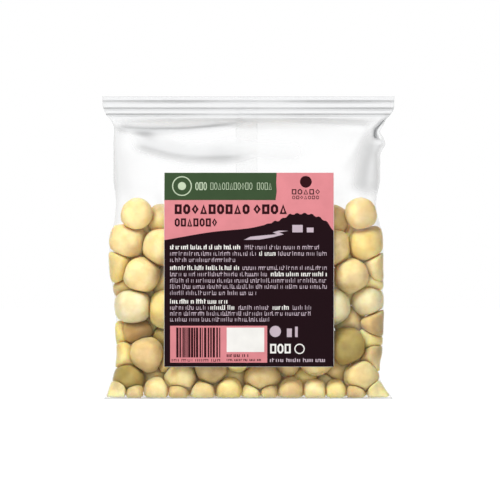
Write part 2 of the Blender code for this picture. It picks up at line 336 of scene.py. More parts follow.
def drawn_in(tube, contents):
    """The film drawn in between the kernels like a taut skin, over the part of the bag that holds them."""
    normals = grid_normals(tube)
    starts = (tube + normals * RAY_START).reshape(-1, 3)
    room = []
    for start, normal in zip(starts, normals.reshape(-1, 3)):
        distance = contents.ray_cast(Vector(start), -Vector(normal), RAY_START + DRAW_MOST + FILM_GAP)[3]
        room.append(DRAW_MOST if distance is None else distance - RAY_START - FILM_GAP)
    room = np.clip(np.array(room).reshape(tube.shape[:2]), 0.0, None)
    z = tube[..., 2]
    pull = label_room(tube) * smoothstep(*DRAW_FOOT, z) * (1.0 - smoothstep(*FILL_TOP, z))
    room = np.minimum(room, DRAW_MOST * pull)
    offset = room
    for _ in range(DRAW_ROUNDS):
        offset = np.minimum(smoothed(offset, 1), room)
    return tube - normals * offset[..., None]


# Creases of the head space: (x, z) points in mm along each, then its half width, its height out of the film,
# its haze, which is also painted shade along the crease, and its side. Side -1 is the front and +1 the back.
# A negative height is a groove.
CREASES = (
    (((-60.5, 123.4), (-55.5, 119.9), (-44.0, 119.0), (-30.5, 119.2), (-13.0, 120.9), (1.0, 122.8)),
     1.7, 0.85, 0.50, -1),
    (((58.0, 120.5), (48.0, 121.4), (34.0, 122.2), (12.0, 123.2)), 1.5, 0.4, 0.08, -1),
    (((-54.5, 117.4), (-49.0, 115.4), (-42.0, 112.8), (-33.0, 110.6), (-21.0, 109.2), (-8.0, 109.4),
      (6.0, 110.6)), 4.2, -2.0, 0.40, -1),
    (((54.0, 121.5), (50.5, 117.5), (46.0, 110.6), (41.0, 104.0), (38.0, 99.5)), 3.2, 0.8, 0.0, -1),
    (((60.0, 121.0), (56.5, 112.0), (54.0, 102.0), (53.2, 95.0), (53.3, 89.0)), 6.0, -2.2, 0.32, -1),
    (((-24.0, 109.5), (0.0, 111.0), (14.0, 110.6), (32.0, 109.5)), 5.4, -0.8, 0.15, -1),
    (((64.0, 126.4), (60.6, 122.6), (57.6, 119.6), (57.6, 118.0), (62.0, 116.4)), 1.5, -2.0, 0.9, -1),
    (((-58.0, 119.0), (-49.0, 113.0), (-36.0, 110.0), (-16.0, 109.0)), 3.2, 0.7, 0.0, 1),
    (((58.0, 119.0), (48.0, 112.5), (34.0, 109.0), (15.0, 108.0)), 3.2, 0.7, 0.0, 1),
    (((-56.0, 115.0), (-50.0, 106.0), (-47.0, 98.0), (-46.0, 91.0)), 3.2, -0.8, 0.0, 1),
    (((56.0, 115.0), (50.0, 106.0), (47.5, 98.0), (46.5, 91.0)), 3.2, -0.8, 0.0, 1),
)
CREASE_STEPS = 18
CREASE_TAPER = 0.25


def crease_profile(points, path, width):
    """How strongly a crease acts at each point of the film: 1 along it, fading out to its sides and ends."""
    keys = np.column_stack([np.linspace(0.0, 1.0, len(path)), np.array(path)])
    line = along(keys, np.linspace(0.0, 1.0, CREASE_STEPS))
    start, step = line[:-1], np.diff(line, axis=0)
    apart = points[:, :, None, ::2] - start
    share = np.clip((apart * step).sum(axis=3) / (step**2).sum(axis=1), 0.0, 1.0)
    distance = np.linalg.norm(apart - share[..., None] * step, axis=3)
    nearest = distance.argmin(axis=2)[..., None]
    place = (nearest + np.take_along_axis(share, nearest, axis=2))[..., 0] / len(step)
    taper = smoothstep(0.0, CREASE_TAPER, place) * smoothstep(0.0, CREASE_TAPER, 1.0 - place)
    return np.exp(-((distance.min(axis=2) / width) ** 2)) * taper


def creased(points):
    """The height and the haze that the creases give each point of the film; the haze also paints shade along
    them.
    """
    height = np.zeros(points.shape[:2])
    haze_and_shade = np.zeros(points.shape[:2])
    for path, width, rise, shade_haze, side in CREASES:
        profile = np.where(points[..., 1] * side > 0.0, crease_profile(points, path, width), 0.0)
        height += profile * rise
        # Painted shade along the crease
        haze_and_shade += profile * shade_haze
    return height, haze_and_shade


def film_noise(points, scale, seed):
    """Smooth noise at each point, from about -1 to 1."""
    shift = Vector((seed * 7.1, seed * 3.3, seed * 5.7))
    flat = points.reshape(-1, 3)
    values = [noise.noise(Vector(p) / scale + shift) for p in flat]
    return np.array(values).reshape(points.shape[:2])


def rippled(points):
    """Small irregular waves: soft ones in the head space, pleats down from the top seal, and fine ones."""
    normals = grid_normals(points)
    z = points[..., 2]
    below_seal = 1.0 - smoothstep(*HEAD_END, z)
    head = smoothstep(*HEAD_START, z) * below_seal
    soft = film_noise(points * np.array([1.0, 1.0, SOFT_DRAWN]), SOFT_SIZE, 1) * SOFT_HEIGHT
    pleat = film_noise(points * np.array([1.0, 1.0, PLEAT_DRAWN]), PLEAT_SIZE, 2) * PLEAT_HEIGHT
    pleat *= smoothstep(*PLEAT_START, z) * (1.0 - smoothstep(*PLEAT_END, z))
    fine = film_noise(points, FINE_SIZE, 3) * FINE_HEIGHT * smoothstep(*FINE_START, z) * below_seal
    return points + normals * ((soft * head + fine) * label_room(points) + pleat)[..., None]


def crimp_press(points):
    """How hard each point is pressed by the ridges of the top seal, 0 to 1, a little unevenly along them."""
    x, z = points[..., 0], points[..., 2]
    press = np.zeros(z.shape)
    for i, line in enumerate(CRIMP_LINES):
        uneven = 1.0 - CRIMP_UNEVEN + CRIMP_UNEVEN * np.sin(x / CRIMP_WAVE + i * CRIMP_SHIFT)
        ridge = np.clip(1.0 - np.abs(z - line) / CRIMP_WIDTH, 0.0, 1.0)
        press += ridge * uneven * (CRIMP_MIDDLE + (1.0 - CRIMP_MIDDLE) * smoothstep(*CRIMP_FADE, np.abs(x)))
    return press


def crimped(points):
    """The top seal pressed into its ridges, the same way on both faces."""
    points[..., 1] += crimp_press(points) * CRIMP_DEPTH
    return points


def row_values(tube_row, values, x):
    """Values along one row of the tube's back, at the given x."""
    back = np.concatenate([tube_row[FRONT_COLUMNS:], tube_row[:1]])[::-1]
    sampled = np.concatenate([values[FRONT_COLUMNS:], values[:1]])[::-1]
    return np.stack([np.interp(x, back[:, 0], sampled[:, k]) for k in range(3)], axis=1)


def seam_points(points):
    """The lapped seam down the back: its free edge stands off the film a little, unevenly."""
    normals = grid_normals(points)
    x = np.array([place for place, _ in SEAM_SECTION])
    lift = np.array([height for _, height in SEAM_SECTION])
    rows = []
    for i in range(SEAM_FIRST_ROW, len(points)):
        at = row_values(points[i], points[i], x)
        out = row_values(points[i], normals[i], x)
        wave = 1.0 + sum(size * math.sin(i * turn) for size, turn in SEAM_WAVES)
        rows.append(at + out * (lift * wave)[:, None])
    seam = np.array(rows)
    seam[..., 2] = np.maximum(seam[..., 2], SEAM_LOW)
    return seam


def bottom_seal_points():
    """The sealed strip folded flat under the bag, as sections of it from one end to the other."""
    deep = np.linspace(SEAL_FRONT, SEAL_BACK, SEAL_SECTION_POINTS)
    share = np.linspace(0.0, 1.0, SEAL_SECTION_POINTS)
    ribs = SEAL_RIB_HALF * (np.cos(share * 2.0 * math.pi * SEAL_RIBS) - 1.0)
    under = np.stack([deep, SEAL_UNDERSIDE + ribs], axis=1)
    over = np.stack([deep, SEAL_TOP_SIDE + SEAL_CROWN * np.sin(share * math.pi)], axis=1)[::-1]
    section = np.vstack([under, over])
    rows = []
    for x in np.linspace(-SEAL_END, SEAL_END, SEAL_STATIONS):
        wave = 0.06 * math.sin(x * 0.35) + 0.05 * math.sin(x * 0.83 + 1.0)
        y = section[:, 0] + wave * 2.0
        z = section[:, 1] + abs(wave)
        rows.append(np.column_stack([np.full(len(section), x), y, z]))
    return np.array(rows)


# ---------------------------------------------------------------- kernels


def cad_kernels():
    """Name, centre and radius of each CAD kernel, in mm."""
    found = []
    for name in sorted(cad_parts):
        if name.startswith("kernel_"):
            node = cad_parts[name]
            verts = np.array([node.matrix_world @ v.co for v in node.data.vertices]) / MM
            centre = (verts.max(axis=0) + verts.min(axis=0)) / 2
            found.append((name, centre, np.linalg.norm(verts - centre, axis=1).max()))
    return found


def film_room(points, walls):
    """How far each point is inside the film. It is negative outside."""
    found = []
    for point in points:
        near, normal, _, distance = walls.find_nearest(Vector(point))
        found.append(distance if (Vector(point) - near).dot(normal) < 0.0 else -distance)
    return np.array(found)


def spaces(grid, centres, radii, walls, least, most):
    """The largest balls that fit between film and kernels at the grid's points, from most down to least."""
    room = np.minimum(film_room(grid, walls) - WALL_GAP, most)
    for centre, radius in zip(centres, radii):
        room = np.minimum(room, np.linalg.norm(grid - centre, axis=1) - radius - KERNEL_GAP)
    found = []
    while True:
        best = np.argmax(room - grid[:, 2] * LOWEST_FIRST)
        if room[best] < least:
            return found
        found.append((grid[best].copy(), float(room[best])))
        near = np.linalg.norm(grid - grid[best], axis=1) - room[best] - KERNEL_GAP
        room = np.minimum(room, near)


def grid_points(across, deep, up, step):
    """Points of a box, from its (low, high) along each axis."""
    axes = [np.arange(low, high, step) for low, high in (across, deep, up)]
    return np.array(np.meshgrid(*axes)).reshape(3, -1).T


def kernel_shape(rng, directions):
    """A kernel's radius each way, and how brown it is there.

    It is a ball with a flatter base, a low tip, a shallow groove and soft lumps.
    """
    turn = np.array(Quaternion(rng.normal(size=4)).normalized().to_matrix())
    shift = Vector(rng.uniform(-50.0, 50.0, 3))
    local = directions @ turn
    lumps = []
    for point in local:
        places = [(Vector(point) * fineness + shift, height) for fineness, height in KERNEL_LUMPS]
        lumps.append(sum(noise.noise(place) * height for place, height in places))
    lumps = np.array(lumps)
    up = local[:, 2]
    groove = -GROOVE_DEPTH * np.exp(-((local[:, 0] / GROOVE_WIDTH) ** 2))
    groove *= np.clip(up + GROOVE_START, 0.0, 1.0)
    tip = TIP_HEIGHT * np.clip(up, 0.0, 1.0) ** TIP_POWER
    base = -BASE_FLAT * np.clip(-up, 0.0, 1.0) ** BASE_POWER
    brown = smoothstep(*BROWN_FADE, up + lumps * BROWN_MOTTLE)
    return KERNEL_BODY + lumps + groove + tip + base, brown


def film_reach(start, direction, walls):
    """The distance from start to the film one way.

    A ray along an edge of the film's mesh can miss it, so others close beside it follow.
    """
    for nudge in NUDGES:
        distance = walls.ray_cast(start, direction + Vector(nudge))[3]
        if distance is not None:
            return distance
    return 0.0


def kernel_limits(index, directions, walls):
    """How far kernel number index may reach each way before it meets a neighbour or the film."""
    centre = all_centres[index]
    to_others = all_centres - centre
    distance = np.linalg.norm(to_others, axis=1)
    near = (distance > 0.0) & (distance < all_weights[index] + all_weights + NEIGHBOUR_GAP)
    share = distance[near] * all_weights[index] / (all_weights[index] + all_weights[near]) - CONTACT_GAP
    toward = directions @ (to_others[near] / distance[near, None]).T
    reach = np.where(toward > LEAST_TOWARD, share[None] / np.maximum(toward, LEAST_TOWARD), NO_LIMIT)
    film = [film_reach(Vector(centre), Vector(direction), walls) for direction in directions]
    return np.column_stack([reach, np.maximum(np.array(film) - WALL_GAP, LEAST_REACH)])


def pressed_out(free, centre, radius, directions):
    """The free reach of a kernel, raised toward the side or base of the bag where it lies against them."""
    side = math.copysign(1.0, centre[0])
    edges = (
        (directions[:, 0] * side, SIDE_AT - abs(centre[0])),
        (-directions[:, 2], centre[2] - BASE_AT),
    )
    for toward, distance in edges:
        if distance < radius * EDGE_MOST and centre[2] < EDGE_TOP:
            share = smoothstep(*PRESS_FADE, toward)
            wanted = np.minimum(distance / np.maximum(toward, PRESS_TOWARD), radius * EDGE_MOST)
            free = free + np.maximum(wanted - free, 0.0) * share
    return free


def kernel_mesh(name, index, walls):
    """One kernel, swollen until it meets what lies around it."""
    rng = np.random.default_rng(SEED * 1000 + index)
    centre, radius = all_centres[index], all_weights[index]
    bm = bmesh.new()
    bmesh.ops.create_icosphere(bm, subdivisions=KERNEL_DETAIL, radius=1.0)
    directions = np.array([vert.co for vert in bm.verts])
    outer, inner = rng.uniform(*OUTER_SWELL), rng.uniform(*INNER_SWELL)
    inward = -directions[:, 1] * math.copysign(1.0, centre[1])
    covered = 1.0 - smoothstep(*COVERED_FADE, centre[2])
    swell = outer + (inner - outer) * smoothstep(*INWARD_FADE, inward) * covered
    shape, brown = kernel_shape(rng, directions)
    free = radius * swell * shape
    reach = kernel_limits(index, directions, walls)
    free = pressed_out(free, centre, radius, directions)
    size = (free**-SOFT_LIMIT + (reach**-SOFT_LIMIT).sum(axis=1)) ** (-1.0 / SOFT_LIMIT)
    for vert, direction, length in zip(bm.verts, directions, size):
        vert.co = Vector((centre + direction * length) * MM)
    piece = finished_mesh(name, bm)
    set_values(piece, "brown", brown)
    return piece


# ---------------------------------------------------------------- mesh helpers


def finished_mesh(name, bm, smooth=True):
    """An object made from bm, which it frees."""
    mesh = bpy.data.meshes.new(name)
    bm.to_mesh(mesh)
    bm.free()
    if smooth:
        mesh.shade_smooth()
    else:
        mesh.shade_flat()
    return linked(name, mesh)


def tube_quads(rows, columns):
    """Corner numbers of the quads of a tube's grid of points."""
    index = np.arange(rows * columns).reshape(rows, columns)
    nxt = np.roll(index, -1, axis=1)
    return np.stack([index[:-1], nxt[:-1], nxt[1:], index[1:]], axis=-1).reshape(-1, 4)


def row_cap(row, columns, up):
    """Faces that close one row of the tube, from its front to its back."""
    start = row * columns
    back = [start] + [start + columns - i for i in range(1, FRONT_COLUMNS)] + [start + FRONT_COLUMNS]
    faces = []
    for i in range(FRONT_COLUMNS):
        corners = [start + i, start + i + 1, back[i + 1], back[i]]
        face = list(dict.fromkeys(corners))
        faces.append(face if up else face[::-1])
    return faces


def grid_mesh(name, points, faces):
    """A smooth object of a grid of points in mm."""
    mesh = bpy.data.meshes.new(name)
    mesh.from_pydata((points.reshape(-1, 3) * MM).tolist(), [], faces)
    mesh.shade_smooth()
    return linked(name, mesh)


def open_grid(name, points, thickness):
    """A thin sheet over a (row, column, xyz) grid of points in mm."""
    rows, columns = points.shape[:2]
    index = np.arange(rows * columns).reshape(rows, columns)
    quads = np.stack([index[:-1, :-1], index[:-1, 1:], index[1:, 1:], index[1:, :-1]], axis=-1).reshape(-1, 4)
    sheet = grid_mesh(name, points, quads.tolist())
    solidify = sheet.modifiers.new("film", "SOLIDIFY")
    solidify.thickness = thickness * MM
    solidify.offset = 0.0
    return sheet


def bar(name, points):
    """A closed body from (station, section, xyz) points in mm."""
    rows, columns = points.shape[:2]
    faces = tube_quads(rows, columns).tolist()
    faces += [list(range(columns))[::-1], [(rows - 1) * columns + i for i in range(columns)]]
    return grid_mesh(name, points, faces)


def set_values(obj, name, values):
    """Stores one number for each of the mesh's points, for its material to read."""
    attribute = obj.data.attributes.new(name, "FLOAT", "POINT")
    attribute.data.foreach_set("value", np.asarray(values).ravel().astype(np.float32))


def linked(name, mesh):
    """An object in the scene for mesh."""
    obj = bpy.data.objects.new(name, mesh)
    bpy.context.scene.collection.objects.link(obj)
    return obj


def closed_tube(name, points):
    """A mesh of a tube of points in mm, closed across its columns and at both ends."""
    rows, columns = points.shape[:2]
    faces = tube_quads(rows, columns).tolist() + row_cap(0, columns, False) + row_cap(rows - 1, columns, True)
    obj = grid_mesh(name, points, faces)
    obj.data.validate()
    return obj


# ---------------------------------------------------------------- materials


def srgb(*values):
    """Linear colour of 0-255 display values."""
    out = []
    for value in values:
        c = value / 255.0
        out.append(c / 12.92 if c <= 0.04045 else ((c + 0.055) / 1.055) ** 2.4)
    return (*out, 1.0)


RANGE_SOCKETS = ("From Min", "From Max", "To Min", "To Max")


class Nodes:
    """Short calls for a material's node tree."""

    def __init__(self, name):
        self.material = bpy.data.materials.new(name)
        self.material.use_nodes = True
        self.tree = self.material.node_tree
        self.shader = self.tree.nodes["Principled BSDF"]

    def new(self, kind, **values):
        node = self.tree.nodes.new(kind)
        for key, value in values.items():
            if key in node.inputs:
                node.inputs[key].default_value = value
            else:
                setattr(node, key, value)
        return node

    def link(self, source, target):
        self.tree.links.new(source, target)

    def set(self, **values):
        for key, value in values.items():
            self.shader.inputs[key.replace("_", " ")].default_value = value

    def noise(self, scale, detail):
        place = self.new("ShaderNodeNewGeometry")
        node = self.new("ShaderNodeTexNoise", Scale=scale, Detail=detail, Roughness=0.55)
        self.link(place.outputs["Position"], node.inputs["Vector"])
        return node.outputs["Fac"]

    def ramp(self, source, stops):
        node = self.new("ShaderNodeValToRGB")
        elements = node.color_ramp.elements
        while len(elements) < len(stops):
            elements.new(0.5)
        for element, (place, colour) in zip(elements, stops):
            element.position = place
            element.color = colour
        self.link(source, node.inputs["Fac"])
        return node.outputs["Color"]

    def range(self, source, low, high, to_low, to_high):
        node = self.new("ShaderNodeMapRange")
        for key, value in zip(RANGE_SOCKETS, (low, high, to_low, to_high)):
            node.inputs[key].default_value = value
        self.link(source, node.inputs["Value"])
        return node.outputs["Result"]

    def value(self, name):
        """A value stored on the mesh by set_values."""
        return self.new("ShaderNodeAttribute", attribute_name=name).outputs["Fac"]

    def mix(self, share, first, second):
        node = self.new("ShaderNodeMixRGB")
        for socket, source in zip(node.inputs, (share, first, second)):
            self.link(source, socket)
        return node.outputs["Color"]

    def math(self, operation, a, b):
        node = self.new("ShaderNodeMath", operation=operation)
        for socket, value in zip(node.inputs, (a, b)):
            if isinstance(value, (int, float)):
                socket.default_value = value
            else:
                self.link(value, socket)
        return node.outputs["Value"]

    def bump(self, height, strength, distance):
        node = self.new("ShaderNodeBump", Strength=strength, Distance=distance)
        self.link(height, node.inputs["Height"])
        self.link(node.outputs["Normal"], self.shader.inputs["Normal"])


def film_haze_and_shade(points, fold_shade_haze):
    """How cloudy the film is at each point: clearest over the kernels, cloudiest in the seals and folds.

    In the folds and the seal's ridges it is painted shade, and along the foot and in patches over the kernels
    it is painted reflection.
    """
    z = points[..., 2]
    head = smoothstep(86.0, 96.0, z)
    seal = smoothstep(121.0, 126.0, z)
    # A pale veil along the foot: painted reflection
    foot = 1.0 - smoothstep(0.5, 4.0, z)
    over_kernels = smoothstep(14.0, 30.0, z) * (1.0 - head)
    # Whitish patches over the kernels: painted reflection
    reflection_patches = np.clip(film_noise(points, PATCH_SIZE, 9) - PATCH_LEAST, 0.0, 1.0) * REFLECTION_PATCH_HAZE * over_kernels
    haze_and_shade = HAZE_CLEAR + np.where(points[..., 1] < 0.0, *HAZE_HEAD) * head
    # Along the seal's ridges the added haze is painted shade
    haze_and_shade += HAZE_SEAL * seal + RIDGE_SHADE_HAZE * crimp_press(points) + FOOT_REFLECTION_HAZE * foot
    return haze_and_shade + reflection_patches + fold_shade_haze


def film_material():
    """Glossy film that is clear where its haze is low, and greyer and more solid where it is high.

    The grey is painted shade where the haze comes from the folds and the seal's ridges.
    """
    n = Nodes("clear_film")
    n.set(Roughness=0.3, IOR=1.5, Metallic=0.8)
    haze_and_shade = n.value("haze_and_shade")
    # Greyer with more haze: painted shade in the folds and the seal's ridges
    painted_greys = ((0.2, srgb(248, 249, 250)), (0.6, srgb(216, 217, 218)), (0.95, srgb(170, 171, 172)))
    n.link(n.ramp(haze_and_shade, painted_greys), n.shader.inputs["Base Color"])
    facing = n.new("ShaderNodeLayerWeight", Blend=0.35).outputs["Facing"]
    edge = n.range(facing, 0.12, 0.9, 0.0, 0.30)
    alpha = n.math("MINIMUM", n.math("ADD", haze_and_shade, edge), 0.95)
    n.link(alpha, n.shader.inputs["Alpha"])
    return n.material


# Kernel tones: (dark, light) display colours. Olive and brown are darker copies that paint shade on kernels
# lying behind or low in the bag.
KERNEL_TONES_AND_SHADES = {
    "c": ((226, 200, 142), (244, 222, 168)),
    "p": ((226, 210, 164), (240, 230, 192)),
    "y": ((222, 196, 126), (240, 218, 152)),
    # Painted shade: olive and brown copies for kernels in shadow
    "o": ((150, 132, 74), (174, 156, 92)),
    "t": ((198, 172, 118), (218, 194, 142)),
    "b": ((158, 128, 80), (180, 152, 102)),
}
MOTTLE_DARK = 0.34
MOTTLE_LIGHT = 0.66
BROWNER = (0.84, 0.90)
# One tone for each of the first CAD kernels, which show beside the label, and for each kernel along the foot.
# The others draw theirs from the last. An olive or brown pick is painted shade.
SHOWN_TONES = "cccccpybotoctyttccctyccppo"
FOOT_TONES = "ctctcycttcytc"
HIDDEN_TONES = "cctytcty"


def kernel_materials():
    """A material for each kernel tone: soft mottling, fine grain and a little light inside.

    The olive and brown tones are painted shade.
    """
    found = {}
    for key, (dark, light) in KERNEL_TONES_AND_SHADES.items():
        n = Nodes("kernel_" + key)
        mottle = n.noise(170.0, 3.0)
        plain = n.ramp(mottle, ((MOTTLE_DARK, srgb(*dark)), (MOTTLE_LIGHT, srgb(*light))))
        dark_brown = srgb(*(c * BROWNER[0] for c in dark))
        light_brown = srgb(*(c * BROWNER[1] for c in light))
        brown = n.ramp(mottle, ((MOTTLE_DARK, dark_brown), (MOTTLE_LIGHT, light_brown)))
        n.link(n.mix(n.value("brown"), plain, brown), n.shader.inputs["Base Color"])
        n.set(Roughness=0.5, Subsurface_Weight=0.7, Subsurface_Scale=1.0)
        n.set(Subsurface_Radius=(0.010, 0.004, 0.001))
        n.bump(n.noise(1400.0, 3.0), 0.2, 0.0003)
        found[key] = n.material
    return found


def ink_material(name, *display):
    """Print on a satin label, from 0-255 display values: very slightly uneven ink."""
    n = Nodes(name)
    colour = srgb(*display)
    light = tuple(min(1.0, c * 1.03) for c in colour[:3]) + (1.0,)
    dark = tuple(c * 0.96 for c in colour[:3]) + (1.0,)
    n.link(n.ramp(n.noise(160.0, 2.0), ((0.35, dark), (0.65, light))), n.shader.inputs["Base Color"])
    n.set(Roughness=0.5, Specular_IOR_Level=0.1)
    return n.material


# ---------------------------------------------------------------- label


def label_y(z):
    """The y of the label's outer face at each height, in mm."""
    return -along(HALF_DEPTH, z)[:, 0] - LABEL_STANDS


def printed(name, outlines, layer, material):
    """Thin shapes bent to the label's face: flat outlines of (x, z) in mm, in one layer of its print."""
    bm = bmesh.new()
    for outline in outlines:
        bm.faces.new([bm.verts.new((x, 0.0, z)) for x, z in outline])
    bmesh.ops.remove_doubles(bm, verts=bm.verts, dist=1e-4)
    for height in np.arange(LABEL_STEP, label_box[1][2], LABEL_STEP):
        geometry = bm.verts[:] + bm.edges[:] + bm.faces[:]
        cut = Vector((0.0, 0.0, height))
        bmesh.ops.bisect_plane(bm, geom=geometry, dist=1e-4, plane_co=cut, plane_no=(0.0, 0.0, 1.0))
    for vert in bm.verts:
        vert.co.y = label_y(vert.co.z)[0] - layer * LAYER_STEP
    bmesh.ops.recalc_face_normals(bm, faces=bm.faces)
    for face in bm.faces:
        if face.normal.y > 0.0:
            face.normal_flip()
    bmesh.ops.scale(bm, vec=(MM, MM, MM), verts=bm.verts)
    obj = finished_mesh(name, bm, smooth=False)
    solidify = obj.modifiers.new("ink", "SOLIDIFY")
    solidify.thickness = INK * MM
    solidify.offset = -1.0
    obj.data.materials.append(material)
    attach(obj, "root")
    return obj


# Lines of the label's text: height of the foot, then the start and end of each run, bold runs marked 1, in mm
TEXT_LINES = (
    (66.4, ((-34.6, -3.0, 1), (-1.6, 31.5, 0))), (63.6, ((-34.6, 3.4, 0), (4.8, 12.0, 1), (13.2, 35.2, 0))),
    (60.8, ((-34.6, -5.8, 0),)), (57.3, ((-34.6, -4.2, 1), (-2.6, 35.2, 0))),
    (54.5, ((-34.6, 8.6, 0), (9.9, 35.2, 1))), (51.7, ((-34.6, 35.2, 0),)), (49.0, ((-34.6, 35.2, 0),)),
    (46.2, ((-34.6, 3.7, 0),)), (42.4, ((-34.6, -8.6, 1),)),
    (39.7, ((-34.6, -17.4, 0), (-16.8, -5.6, 1), (-4.4, 9.8, 0), (10.7, 18.5, 1), (19.6, 28.0, 0))),
    (37.1, ((-34.6, 27.8, 0),)), (34.5, ((-34.6, 9.3, 0),)),
)


def label_body():
    """The label itself, with slightly rounded corners, following the front of the bag."""
    (left, _, low), (right, _, high) = label_box
    outline = []
    for x, z, start in ((right, high, 0), (left, high, 90), (left, low, 180), (right, low, 270)):
        inset_x = x - math.copysign(LABEL_CORNER, x)
        inset_z = z - LABEL_CORNER if z == high else z + LABEL_CORNER
        for step in range(5):
            angle = math.radians(start + 22.5 * step)
            corner_x = inset_x + LABEL_CORNER * math.cos(angle)
            corner_z = inset_z + LABEL_CORNER * math.sin(angle)
            outline.append((corner_x, corner_z))
    body = printed("visual_label", [outline], 0, ink_material("label_stock", 226, 228, 222))
    body.modifiers["ink"].thickness = LABEL_THICK * MM
    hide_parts("front_label")


def box_outline(x0, z0, x1, z1):
    """Corners of a box from its lower left to its upper right corner."""
    return ((x0, z0), (x1, z0), (x1, z1), (x0, z1))


def line_of_ticks(rng, x0, x1, z, height, pitch, stroke, tall=1.35):
    """A line of words from x0 to x1 made of plain upright ticks, some taller, standing on height z."""
    found = []
    x = x0
    while x < x1 - stroke:
        for _ in range(rng.integers(*WORD_TICKS)):
            if x > x1 - stroke:
                break
            top = height * (tall if rng.random() < 0.25 else 1.0)
            wide = stroke * rng.uniform(0.75, 1.25)
            found.append(box_outline(x, z, x + wide, z + top))
            if rng.random() < 0.45 and x + pitch + wide < x1:
                bar = z + height * rng.choice((0.0, 0.8))
                found.append(box_outline(x + wide + 0.01, bar, x + pitch - 0.01, bar + height * 0.2))
            x += pitch
        x += pitch * 0.8
    return found


# Plain hollow shapes that stand for letters, each in a unit box: frame, ring, peak, diamond
WORD_SHAPES = {
    "f": ((0.0, 0.0), (1.0, 0.0), (1.0, 1.0), (0.0, 1.0)),
    "o": ((0.3, 0.0), (0.7, 0.0), (1.0, 0.25), (1.0, 0.75), (0.7, 1.0), (0.3, 1.0), (0.0, 0.75), (0.0, 0.25)),
    "p": ((0.0, 0.0), (1.0, 0.0), (0.5, 1.0)),
    "d": ((0.5, 0.0), (1.0, 0.5), (0.5, 1.0), (0.0, 0.5)),
}


def row_of_shapes(kinds, x, z, width, height, stroke, gap):
    """Words of plain hollow shapes from x, standing on height z."""
    found = []
    size = np.array([width, height])
    inset = 1.0 - 2.0 * stroke / size
    for kind in kinds:
        corners = np.array(WORD_SHAPES[kind])
        middle = corners.mean(axis=0)
        outer = corners * size + (x, z)
        inner = (middle + (corners - middle) * inset) * size + (x, z)
        for i in range(len(corners)):
            found.append((outer[i - 1], outer[i], inner[i], inner[i - 1]))
        x += width + gap
    return found


def disc(x, z, radius):
    angles = [2 * math.pi * i / DISC_POINTS for i in range(DISC_POINTS)]
    return tuple((x + radius * math.cos(angle), z + radius * math.sin(angle)) for angle in angles)


